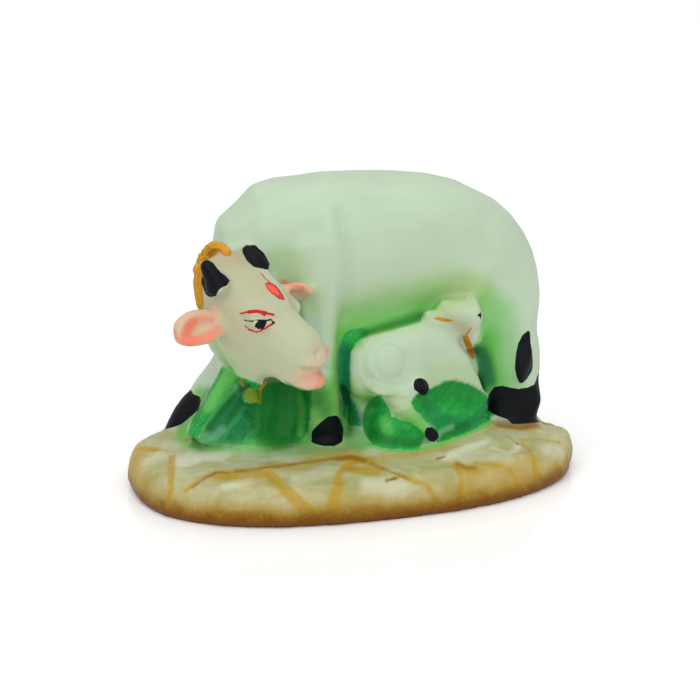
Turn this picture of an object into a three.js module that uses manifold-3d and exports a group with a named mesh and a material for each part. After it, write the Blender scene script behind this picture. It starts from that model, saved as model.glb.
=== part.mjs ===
// A small cast resin figure: a standing cow with her calf, on a low oval base.
// The frame is in millimetres. The middle of the underside is the origin, X runs along
// the base towards the cow's tail, Y goes away from the calf's side and Z points up.
import * as THREE from 'three';
import { LoftGeometry } from 'three/addons/geometries/LoftGeometry.js';
import { mergeVertices } from 'three/addons/utils/BufferGeometryUtils.js';
import Module from 'manifold-3d';

const wasm = await Module();
wasm.setup();

// Sizes of the base, in millimetres
const BASE_LENGTH = 80;
const BASE_DEPTH = 49;
const BASE_HEIGHT = 7.1;
const BASE_CROWN = 1.6;
const BASE_CROWN_WIDTH = 14;
const RIM_ROUND = 4.2;
const FOOT_ROUND = 1.1;
const BASE_SQUARENESS = 2.4;

// Height of the cow's back above the ground she stands on, in millimetres
const COW_HEIGHT = 46.2;

// Sizes of the cow, in hundredths of her height
const TRUNK_HALF_WIDTH = 20.8;
const TRUNK_MIDDLE = 5.6;
const BACK_LINE = 99.8;
const LEG_RADIUS = 6.9;
const HOOF_HEIGHT = 12;
const TAIL_HALF_WIDTH = 4.8;
const COLLAR_RADIUS = 1.4;
const BELL_RADIUS = 3.5;
const HEAD_LENGTH = 49.8;
const CALF_HEIGHT = 54;

// Sizes of the calf, in hundredths of its height
const CALF_HALF_WIDTH = 15.5;
const CALF_MIDDLE = -2.5;

// Sizes on the head, in hundredths of its length
const HORN_LENGTH = 20;
const HORN_RADIUS = 9.2;
const EAR_LENGTH = 36.5;
const EAR_HALF_WIDTH = 13.9;
const EAR_THICKNESS = 5;

// The cow turns her head back to her calf: the way of the muzzle and of the left cheek
const HEAD_AHEAD = new THREE.Vector3(0.519, -0.518, -0.677).normalize();
const HEAD_LEFT = new THREE.Vector3(0.783, 0.612, 0.106).normalize();
const POLL = new THREE.Vector3(-49.5, -19.5, 69.5);

// The calf stands along the cow's side and turns a little in under her
const CALF_TURN = THREE.MathUtils.degToRad(8);
const CALF_RUMP = new THREE.Vector3(-2.6, -13.4, 0);

const ALONG = new THREE.Vector3(1, 0, 0);
const ACROSS = new THREE.Vector3(0, 1, 0);
const UP = new THREE.Vector3(0, 0, 1);

// Each animal is posed in hundredths of its own height, from where it stands
const GROUND = BASE_HEIGHT + BASE_CROWN;
const COW = new THREE.Matrix4().makeScale(COW_HEIGHT / 100, COW_HEIGHT / 100, COW_HEIGHT / 100);
COW.setPosition(0, 0, GROUND);
const HEAD = COW.clone().multiply(headPose());
const CALF = COW.clone().multiply(calfPose());
const WORLD = new THREE.Matrix4();

function headPose() {
  const crown = new THREE.Vector3().crossVectors(HEAD_AHEAD, HEAD_LEFT).normalize();
  const left = new THREE.Vector3().crossVectors(crown, HEAD_AHEAD);
  const pose = new THREE.Matrix4().makeBasis(HEAD_AHEAD, left, crown);
  pose.scale(new THREE.Vector3(HEAD_LENGTH / 100, HEAD_LENGTH / 100, HEAD_LENGTH / 100));
  return pose.setPosition(POLL);
}

function calfPose() {
  const pose = new THREE.Matrix4().makeRotationZ(CALF_TURN);
  pose.scale(new THREE.Vector3(CALF_HEIGHT / 100, CALF_HEIGHT / 100, CALF_HEIGHT / 100));
  return pose.setPosition(CALF_RUMP);
}

function vector(values) {
  return new THREE.Vector3(values[0], values[1], values[2]);
}

// A solid of one closed shape, posed in its animal's place
function solid(geometry, pose) {
  const bare = new THREE.BufferGeometry();
  bare.setAttribute('position', geometry.getAttribute('position'));
  bare.setIndex(geometry.getIndex());
  bare.applyMatrix4(pose);
  const merged = mergeVertices(bare, 1e-4);
  const vertProperties = new Float32Array(merged.attributes.position.array);
  const triVerts = new Uint32Array(merged.index.array);
  return new wasm.Manifold(new wasm.Mesh({ numProp: 3, vertProperties, triVerts }));
}

function join(solids) {
  return solids.reduce((whole, next) => whole.add(next));
}

// One coordinate of a rounded outline: 2 gives a circle, a higher squareness a boxier one
function outline(value, squareness) {
  return Math.sign(value) * Math.abs(value) ** (2 / squareness);
}

// A closed ring of points in the plane square to the way ahead
function ring(centre, ahead, up, wide, high, squareness, count) {
  const across = new THREE.Vector3().crossVectors(up, ahead).normalize();
  const upright = new THREE.Vector3().crossVectors(ahead, across).normalize();
  const points = [];
  for (let i = 0; i < count; i += 1) {
    const turn = (2 * Math.PI * i) / count;
    const point = centre.clone();
    point.addScaledVector(across, wide * outline(Math.cos(turn), squareness));
    point.addScaledVector(upright, high * outline(Math.sin(turn), squareness));
    points.push(point);
  }
  return points;
}

// A rounded limb through stations of [x, y, z, half width, half height].
// Its sections are square to its own path, or stand upright on it, or all face one way.
// Each end is a dome, as long as the given share of the limb's own size there.
function limb(pose, stations, options = {}) {
  const { up = UP, count = 12, steps = 6, squareness = 2.2, domes = [0.6, 0.6] } = options;
  const { facing, upright = false } = options;
  const path = new THREE.CatmullRomCurve3(stations.map(vector));
  const sizes = new THREE.CatmullRomCurve3(stations.map((s) => new THREE.Vector3(s[3], s[4], 0)));
  const sections = [];
  const add = (share, shrink, shift) => {
    const centre = path.getPoint(share);
    const ahead = (facing ?? path.getTangent(share)).clone();
    if (upright) {
      ahead.setZ(0).normalize();
    }
    const size = sizes.getPoint(share);
    centre.addScaledVector(ahead, shift);
    sections.push(ring(centre, ahead, up, size.x * shrink, size.y * shrink, squareness, count));
  };
  const reach = (station, share) => Math.min(station[3], station[4]) * share;
  const start = reach(stations[0], domes[0]);
  const end = reach(stations.at(-1), domes[1]);
  const turns = [Math.PI / 5.6, Math.PI / 2.5];
  if (start > 0) {
    turns.toReversed().forEach((turn) => add(0, Math.cos(turn), -start * Math.sin(turn)));
  }
  for (let i = 0; i <= steps; i += 1) {
    add(i / steps, 1, 0);
  }
  if (end > 0) {
    turns.forEach((turn) => add(1, Math.cos(turn), end * Math.sin(turn)));
  }
  return solid(new LoftGeometry(sections, { capStart: true, capEnd: true }), pose);
}

// An egg shape at [x, y, z] with half sizes [long, wide, high], turned to face a way
function egg(pose, at, sizes, { facing = ALONG, up = UP, count = 12 } = {}) {
  const side = new THREE.Vector3().crossVectors(up, facing).normalize();
  const top = new THREE.Vector3().crossVectors(facing, side).normalize();
  const place = new THREE.Matrix4().makeBasis(facing.clone().normalize(), side, top);
  place.scale(vector(sizes));
  place.setPosition(vector(at));
  const geometry = new THREE.SphereGeometry(1, count, Math.round(count * 0.7));
  return solid(geometry, pose.clone().multiply(place));
}

// The base: stacked ovals with a rounded foot, a soft rim and a low crown
function base() {
  const levels = [[FOOT_ROUND, 0], [FOOT_ROUND * 0.3, FOOT_ROUND * 0.35], [0, FOOT_ROUND]];
  const rimSteps = 4;
  for (let i = 0; i <= rimSteps; i += 1) {
    const turn = (Math.PI / 2) * (i / rimSteps);
    const inset = RIM_ROUND * (1 - Math.cos(turn)) * 0.8;
    levels.push([inset, BASE_HEIGHT - RIM_ROUND + RIM_ROUND * Math.sin(turn) * 0.98]);
  }
  const [edge, height] = levels.at(-1);
  const crownSteps = 3;
  for (let i = 1; i <= crownSteps; i += 1) {
    const share = i / crownSteps;
    const rise = (GROUND - height) * Math.sin((Math.PI / 2) * share);
    levels.push([edge + BASE_CROWN_WIDTH * share, height + rise]);
  }
  const sections = levels.map(([inset, z]) => ring(
    new THREE.Vector3(0, 0, z),
    UP,
    ACROSS,
    BASE_LENGTH / 2 - inset,
    BASE_DEPTH / 2 - inset,
    BASE_SQUARENESS,
    44,
  ));
  return solid(new LoftGeometry(sections, { capStart: true, capEnd: true }), WORLD);
}

// The cow's trunk from chest to rump, squarish in section with a flat back
function trunk() {
  const rows = [
    // x, top, bottom, share of the half width
    [-44.5, 88.5, 36, 0.68],
    [-35.6, 95.4, 33, 0.86],
    [-23.8, 98.6, 37.4, 0.98],
    [-6.5, BACK_LINE, 41.8, 1],
    [10.8, 99.1, 42.9, 1],
    [26, 97.6, 45, 0.98],
    [40, 94.8, 48.3, 0.93],
    [50.9, 89.2, 41.8, 0.87],
    [61.7, 80.3, 28.8, 0.8],
    [68.8, 70.8, 24.5, 0.72],
    [73.6, 60.8, 24.5, 0.56],
  ];
  const stations = rows.map(([x, top, low, wide]) => [
    x,
    TRUNK_MIDDLE,
    (top + low) / 2,
    TRUNK_HALF_WIDTH * wide,
    (top - low) / 2,
  ]);
  const options = { count: 22, steps: 11, squareness: 2.6, domes: [0.6, 0.2], facing: ALONG };
  return limb(COW, stations, options);
}

// The neck bends round to the near side and hangs to the dewlap
function neck() {
  return limb(COW, [
    [-19.5, TRUNK_MIDDLE, 68.8, 19.5, 29],
    [-33.5, 3.5, 65.6, 19, 28.1],
    [-41.1, -0.4, 58.5, 16.6, 26.5],
    [-45.9, -6.5, 54, 14.6, 24.5],
    [-48.9, -15.2, 54, 12.4, 18.5],
  ], { count: 18, steps: 7, domes: [0, 0.3], upright: true });
}

function head() {
  const rows = [
    // along, half width, top, bottom
    [-15.7, 20.9, 5.2, -30.4],
    [-6.1, 25.2, 8.7, -34.8],
    [6.1, 28.3, 12.2, -39.1],
    [17.4, 29.6, 15.7, -44.3],
    [32.2, 27.8, 15.2, -50.4],
    [44.3, 24.8, 14.3, -56.5],
    [54.8, 21.3, 15.2, -59.1],
    [63.5, 19.4, 17, -47.8],
    [71.3, 18.5, 17.6, -30.4],
    [80.9, 16.8, 12.5, -20.9],
    [86.1, 14.8, 5.7, -18.3],
  ];
  const stations = rows.map(([along, wide, top, low]) => [
    along,
    0,
    (top + low) / 2,
    wide,
    (top - low) / 2,
  ]);
  const options = { count: 16, steps: 12, squareness: 2.3, domes: [0.5, 0.3], facing: ALONG };
  const skull = limb(HEAD, stations, options);
  const nose = egg(HEAD, [81.7, 0, 3], [9.6, 15.7, 8.7]);
  const chin = egg(HEAD, [88, 0, -12.8], [13, 13.5, 8.5]);
  const brows = [-1, 1].map((side) => egg(HEAD, [39, side * 21, 3.5], [9.6, 4.6, 5.7], { count: 8 }));
  return join([skull, nose, chin, ...brows]);
}

// A stubby horn that lies back from the brow, from its root towards its tip
function horn(root, tip, size = 1) {
  const way = vector(tip).sub(vector(root)).normalize();
  const at = (share, lift) => vector(root).addScaledVector(way, HORN_LENGTH * share).setZ(
    root[2] + (tip[2] - root[2]) * share + lift,
  );
  const station = (share, lift, thick) => [
    ...at(share, lift).toArray(),
    HORN_RADIUS * size * thick,
    HORN_RADIUS * size * thick,
  ];
  const stations = [station(0, 0, 1.1), station(0.5, 1.7, 0.86), station(1, 0, 0.56)];
  return limb(HEAD, stations, { up: ACROSS, count: 10, steps: 3, domes: [0, 0.9] });
}

function horns() {
  const near = horn([2.8, -25.2, 0.6], [-17, -27.8, 8]);
  const far = horn([6.5, 19, 3.6], [-9.8, 20.9, 4.8], 0.75);
  return near.add(far);
}

// An ear that stands out its own way, with a hollow in the side that it shows
function ear(root, way, face, size = 1) {
  const at = (share) => vector(root).addScaledVector(way, share * EAR_LENGTH * size);
  const shape = [[0, 0.62], [0.25, 0.86], [0.5, 1], [0.75, 0.92], [0.92, 0.6]];
  const stations = shape.map(([share, wide]) => [
    ...at(share).toArray(),
    EAR_HALF_WIDTH * size * wide,
    EAR_THICKNESS * size,
  ]);
  const leaf = limb(HEAD, stations, { up: face, steps: 5, domes: [0, 1] });
  const middle = at(0.52).addScaledVector(face, EAR_THICKNESS * size * 1.3);
  const sizes = [EAR_LENGTH * 0.36, EAR_HALF_WIDTH * 0.66, EAR_THICKNESS * 1.3].map((s) => s * size);
  return leaf.subtract(egg(HEAD, middle.toArray(), sizes, { facing: way, up: face, count: 10 }));
}

function ears() {
  const near = ear(
    [21.7, -27, -16.5],
    new THREE.Vector3(-4.1, -7.5, -2.8).normalize(),
    new THREE.Vector3(0.3, -0.45, 0.7).normalize(),
  );
  const far = ear(
    [23.5, 23.1, -4.2],
    new THREE.Vector3(0.59, 0.64, 0.49).normalize(),
    new THREE.Vector3(0.75, -0.66, -0.04).normalize(),
    0.78,
  );
  return near.add(far);
}

// A hoof at [x, y], leaning along X by its lean, with half sizes [long, wide]
function hoof([x, y], [long, wide], lean, taper) {
  return limb(COW, [
    [x, y, -3, wide, long],
    [x + lean * 0.5, y, HOOF_HEIGHT * 0.45, wide * 0.95, long * 0.92],
    [x + lean, y, HOOF_HEIGHT, wide * 0.8, long * taper],
  ], { up: ALONG, count: 10, steps: 3, squareness: 2.4, domes: [0, 0.4], facing: UP });
}

function leg(stations) {
  return limb(COW, stations, { up: ALONG, count: 10, steps: 5 });
}

function legs() {
  const r = LEG_RADIUS;
  const nearFore = leg([
    [-20.3, -3.5, 76.4, 13.9, 11.3],
    [-18.8, -5.8, 59.1, 12.6, 10.8],
    [-16.5, -8, 39.6, r * 1.2, r * 1.25],
    [-15.2, -9.1, 20.1, r, r],
    [-14.7, -9.3, 5, r, r],
  ]);
  const farFore = leg([
    [-30.3, 13, 54.8, 10.8, 12.1],
    [-36.4, 14.7, 38.5, r * 1.15, r * 1.15],
    [-47.2, 16.9, 24.5, r, r * 0.9],
    [-54.5, 18.6, 12.6, r * 0.9, r * 0.85],
  ]);
  const nearHind = leg([
    [52.8, 2, 61.3, 13.4, 17.6],
    [57.6, -1.7, 43.9, 12.1, 15.6],
    [62.3, -3.5, 26.6, r * 1.4, 13],
    [62.6, -4.8, 9.3, r * 1.1, 11.3],
  ]);
  const farHind = leg([
    [54.1, 10.8, 61.3, 13.9, 18.2],
    [59.3, 12.6, 43.9, 12.1, 15.2],
    [68, 14.3, 24.5, r * 1.2, 10.4],
    [71, 14.7, 7.1, r, 9.5],
  ]);
  return join([
    nearFore,
    farFore,
    nearHind,
    farHind,
    hoof([-13.9, -9.7], [6.3, 6.3], 0, 0.7),
    hoof([-63.6, 19.5], [6.9, 6.1], 6.1, 0.7),
    hoof([62.8, -5.2], [11.3, 7.8], 0, 0.9),
    hoof([71.9, 15.2], [9.5, 6.9], 0.4, 0.9),
  ]);
}

// The full shapes of the haunches and of the far shoulder
function muscles() {
  return join([
    egg(COW, [48.9, 2, 61], [19.5, 15.5, 26]),
    egg(COW, [48.9, 10.4, 59.1], [19.5, 16, 27.1]),
    egg(COW, [-24.9, 10.8, 67.7], [15.2, 16.5, 28.1]),
  ]);
}

// The tail runs over the rump, then bends to the near leg and ends in a tuft
function tail() {
  const t = TAIL_HALF_WIDTH;
  const band = limb(COW, [
    [41.1, TRUNK_MIDDLE, 91.1, t, 2.8],
    [58.4, TRUNK_MIDDLE, 81.8, t, 3],
    [69.7, TRUNK_MIDDLE - 0.8, 67.3, t, 3],
    [74, TRUNK_MIDDLE - 2.1, 51.7, t * 0.9, 3],
    [71, TRUNK_MIDDLE - 10.4, 38.3, t * 0.7, 2.6],
  ], { up: new THREE.Vector3(1, 0, 0.6), count: 10, steps: 9 });
  const tuft = limb(COW, [
    [70.1, -6.9, 37.4, 1.9, 1.9],
    [67.1, -10.6, 29.9, 3.7, 2.8],
    [64.7, -12.1, 22.3, 3.9, 2.8],
    [63.6, -11.7, 15.4, 1.3, 1.5],
  ], { up: new THREE.Vector3(0.4, -1, 0), count: 10, steps: 5 });
  return band.add(tuft);
}

// The casting is filled in under the belly and behind the forelegs, and under the chest
// by a flared mound
function webs() {
  const under = limb(COW, [
    [-41.1, TRUNK_MIDDLE + 2.2, 22.3, 5.6, 26],
    [13, TRUNK_MIDDLE + 2.2, 24.5, 6.5, 28.1],
    [67.1, TRUNK_MIDDLE + 2.2, 24.5, 8.7, 28.1],
  ], { steps: 2, squareness: 4, domes: [0.3, 0.3], facing: ALONG });
  const chest = limb(COW, [
    [-38, 3, 48.3, 13.9, 12.1],
    [-37.5, 2.5, 31, 11, 13.5],
    [-39, 2, 13.6, 12, 17.5],
    [-43, 2, -2.4, 15.5, 23.5],
  ], { up: ALONG, steps: 4, squareness: 2.6, domes: [0.3, 0] });
  const dewlap = limb(COW, [
    [-43, -11, 42, 8, 8],
    [-42.2, -13, 31.5, 5.5, 5.2],
    [-41.6, -13.6, 26, 2.6, 2.6],
  ], { up: ALONG, count: 10, steps: 3, domes: [0, 0.9] });
  const belly = limb(COW, [
    [-16, -2, 38, 9, 11],
    [20, -2, 40, 9, 11],
    [60, -2, 40, 9, 11],
  ], { steps: 2, squareness: 3, domes: [0.3, 0.3], facing: ALONG });
  const behindNear = limb(COW, [
    [-18, 1, 46, 9, 9],
    [-14.5, 1, 24, 9, 11.5],
    [-14, 1, -2, 9, 12.5],
  ], { up: ALONG, count: 10, steps: 2, squareness: 3, domes: [0.5, 0] });
  const behindFar = limb(COW, [
    [-35, 10, 46, 7, 8],
    [-46, 11.5, 22, 7, 7],
    [-53, 12, -2, 8, 9],
  ], { up: ALONG, count: 10, steps: 2, domes: [0.5, 0] });
  return join([under, chest, dewlap, belly, behindNear, behindFar]);
}

// The neck rope, cast as the rounded rim of a disc that passes through the neck
function collar() {
  const ahead = new THREE.Vector3(-0.76, -0.56, -0.33).normalize();
  const centre = new THREE.Vector3(-46.4, -3.5, 50);
  const rim = [-0.95, -0.55, 0.55, 0.95].map((share) => {
    const inset = COLLAR_RADIUS * (1 - Math.sqrt(1 - share * share));
    const middle = centre.clone().addScaledVector(ahead, COLLAR_RADIUS * share);
    return ring(middle, ahead, UP, 17 - inset, 32.4 - inset, 1.8, 26);
  });
  return solid(new LoftGeometry(rim, { capStart: true, capEnd: true }), COW);
}

function bell() {
  const r = BELL_RADIUS;
  const profile = [[0, 0], [r, 0], [r * 1.05, r * 0.3], [r * 0.8, r * 1.1], [r * 0.5, r * 1.6]];
  profile.push([0, r * 1.75]);
  const points = profile.map(([x, y]) => new THREE.Vector2(x, y));
  const geometry = new THREE.LatheGeometry(points, 10);
  geometry.rotateX(Math.PI / 2);
  geometry.translate(-43.2, -11, 18);
  return solid(geometry, COW);
}

// The calf's trunk, whose front slants from the withers down to the hoof
function calfTrunk() {
  const rows = [
    // x, top, bottom, share of the half width
    [-3.5, 70, 34, 0.8],
    [7, 78, 28, 0.95],
    [24, 80.5, 22, 1],
    [42, 82, 20, 1],
    [57, 82.5, 18, 1],
    [68, 73.5, 14, 1],
    [80, 60, 8, 0.95],
    [89, 43, 4, 0.9],
    [95, 29, 2, 0.75],
  ];
  const stations = rows.map(([x, top, low, wide]) => [
    x,
    CALF_MIDDLE,
    (top + low) / 2,
    CALF_HALF_WIDTH * wide,
    (top - low) / 2,
  ]);
  const body = limb(CALF, stations, {
    count: 16, steps: 9, squareness: 3, domes: [0.5, 0.2], facing: ALONG,
  });
  const haunch = egg(CALF, [14, -12, 54], [18, 9.2, 19]);
  return body.add(haunch);
}

// The calf's head turns up and away to its mother's flank
function calfHead() {
  const neckPart = limb(CALF, [
    [56, -1, 66, 12, 14.4],
    [74, -3, 79, 10.4, 12],
  ], { count: 10, steps: 2 });
  const skull = limb(CALF, [
    [66, -9, 87.5, 9, 8.5],
    [79, -10, 86.5, 10.5, 11.5],
    [86.5, -11, 76, 8.6, 9.5],
    [87.3, -11, 65.5, 6.5, 7],
  ], { steps: 5 });
  const poll = egg(CALF, [84, -10, 92.5], [5.8, 6.5, 6], { count: 8 });
  const lobe = limb(CALF, [
    [61, -9, 88, 3.6, 5],
    [50.5, -10, 85, 3.8, 5],
  ], { count: 8, steps: 2 });
  return join([neckPart, skull, poll, lobe]);
}

// The calf's hind legs, the tail that wraps under its haunch, the hooves and the tuft
function calfLegs() {
  const rear = limb(CALF, [
    [22, -14, 36, 9, 12],
    [28, -18.5, 24, 8, 10.5],
    [38.5, -23, 10, 6, 6.6],
  ], { count: 10, steps: 4 });
  const far = limb(CALF, [
    [5.6, 2.4, 34, 10.4, 8.8],
    [5.6, 2.4, -2, 9.6, 8],
  ], { up: ALONG, count: 10, steps: 2 });
  const band = limb(CALF, [
    [-1.6, -6.4, 58, 3.6, 3.2],
    [0, -14, 47, 3.6, 3.2],
    [10, -19, 39, 3.6, 3.2],
    [29, -20.5, 38.5, 3.6, 3.2],
  ], { up: new THREE.Vector3(0, -1, 0), count: 8, steps: 7 });
  const knobs = [
    // x, y, z, half length, half height
    [45.2, -25.2, 4, 6, 5.6],
    [39.2, -19.6, 39.6, 6.8, 6.4],
    [96.8, -9.6, 18, 4.8, 7.6],
  ];
  const ends = knobs.map(([x, y, z, long, high]) => (
    egg(CALF, [x, y, z], [long, 5.2, high], { count: 8 })
  ));
  return join([rear, far, band, ...ends]);
}

// The mound that fills the calf's side under its belly, and joins it to its mother
function calfMound() {
  const side = limb(CALF, [
    [15, -6, 1.2, 20, 22.4],
    [48, -7.2, 6, 20, 27.2],
    [89.6, -2.4, 10.8, 15.2, 20.8],
  ], { steps: 4, squareness: 2.4 });
  const behind = limb(CALF, [
    [6, 14, 26, 16, 34],
    [48, 14, 28, 16, 36],
    [92, 10, 22, 14, 30],
  ], { steps: 2, squareness: 2.6, domes: [0.2, 0.3] });
  return side.add(behind);
}

function statue() {
  const cow = [trunk(), neck(), head(), horns(), ears(), legs(), muscles(), tail()];
  const dress = [webs(), collar(), bell()];
  const calf = [calfTrunk(), calfHead(), calfLegs(), calfMound()];
  const mesh = join([base(), ...cow, ...dress, ...calf]).getMesh();
  const geometry = new THREE.BufferGeometry();
  geometry.setAttribute('position', new THREE.BufferAttribute(new Float32Array(mesh.vertProperties), 3));
  geometry.setIndex(new THREE.BufferAttribute(new Uint32Array(mesh.triVerts), 1));
  geometry.computeVertexNormals();
  return geometry;
}

const resin = new THREE.MeshStandardMaterial({ color: 0xc9dcc0, roughness: 0.35, metalness: 0 });
resin.name = 'painted_resin';

const figure = new THREE.Mesh(statue(), resin);
figure.name = 'cow_and_calf_statue';

const root = new THREE.Group();
root.name = 'cow_and_calf_figure';
root.add(figure);

export default root;
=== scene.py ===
"""A small hand-painted resin figure: a cow who turns her head back to her calf, on a low base."""

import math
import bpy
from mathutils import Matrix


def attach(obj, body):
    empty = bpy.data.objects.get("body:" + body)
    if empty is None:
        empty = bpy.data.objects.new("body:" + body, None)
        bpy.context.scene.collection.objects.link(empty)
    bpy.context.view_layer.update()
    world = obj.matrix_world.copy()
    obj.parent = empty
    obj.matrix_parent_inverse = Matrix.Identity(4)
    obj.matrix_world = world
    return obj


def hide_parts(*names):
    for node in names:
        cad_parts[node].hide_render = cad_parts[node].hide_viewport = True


bl_info = {
    "name": "Painted Resin Cow and Calf",
    "version": (1, 0, 0),
    "blender": (4, 5, 0),
    "location": "3D View > Sidebar > Figure",
    "description": "Casts, carves and paints a small resin figure of a cow and her calf",
    "category": "Object",
}

from contextlib import contextmanager

import bmesh
import bpy
import numpy as np
from mathutils import Vector
from mathutils.bvhtree import BVHTree

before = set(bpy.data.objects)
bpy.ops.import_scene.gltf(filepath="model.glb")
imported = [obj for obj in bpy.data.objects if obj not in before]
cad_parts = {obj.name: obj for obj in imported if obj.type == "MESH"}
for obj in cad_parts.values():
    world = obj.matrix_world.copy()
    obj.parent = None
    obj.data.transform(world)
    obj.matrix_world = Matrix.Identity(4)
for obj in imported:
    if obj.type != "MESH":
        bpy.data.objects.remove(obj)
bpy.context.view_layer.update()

NODE = "cow_and_calf_statue"
PIECE = "painted_statue"
MM = 0.001
# In millimetres: the base's top, the height under which the skin is pressed flat, the width of
# a gap that a line on the skin leaps, and a value that stands for "well outside an outline"
BASE_TOP = 9.6
FOOT = 0.22
LEAP = 3.0
OUTSIDE = -9.0

# The sheet: a square drawing of 700 x 700 points, seen from the front and a little above.
# Marks are drawn on it and then dropped onto the figure along the line of sight.
SHEET = 700.0
SHEET_TURN = math.radians(17)
SHEET_TILT = math.radians(17)
SHEET_DISTANCE = 400.0
SHEET_CENTRE = np.array((-0.45, 0.0, 23.2))
POINTS_PER_MM = 5.67
# Round an outline, this much of the sheet is measured with it
BORDER = 40
SHEET_BACK = np.array((
    -math.sin(SHEET_TURN) * math.cos(SHEET_TILT),
    -math.cos(SHEET_TURN) * math.cos(SHEET_TILT),
    math.sin(SHEET_TILT),
))
SHEET_RIGHT = np.array((math.cos(SHEET_TURN), -math.sin(SHEET_TURN), 0.0))
SHEET_UP = np.cross(SHEET_BACK, SHEET_RIGHT)
SHEET_EYE = SHEET_CENTRE + SHEET_BACK * SHEET_DISTANCE


def on_sheet(points):
    """Where points of the figure, in millimetres, fall on the sheet."""
    away = points - SHEET_CENTRE
    scale = POINTS_PER_MM * SHEET_DISTANCE / (SHEET_DISTANCE - away @ SHEET_BACK)
    across = SHEET / 2 + scale * (away @ SHEET_RIGHT)
    down = SHEET / 2 - scale * (away @ SHEET_UP)
    return np.stack((across, down), 1)


def sight_line(x, y):
    """The direction from the eye through one point of the sheet."""
    spread = POINTS_PER_MM * SHEET_DISTANCE
    right = SHEET_RIGHT * (x - SHEET / 2) / spread
    up = SHEET_UP * (SHEET / 2 - y) / spread
    return Vector(right + up - SHEET_BACK).normalized()


def oval(x, y, wide, high, start=0, end=360):
    """An oval on the sheet, or a part of it between two angles in degrees."""
    turns = np.radians(np.arange(start, end + 1, 15))
    return [(x + wide * math.cos(turn), y + high * math.sin(turn)) for turn in turns]


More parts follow.
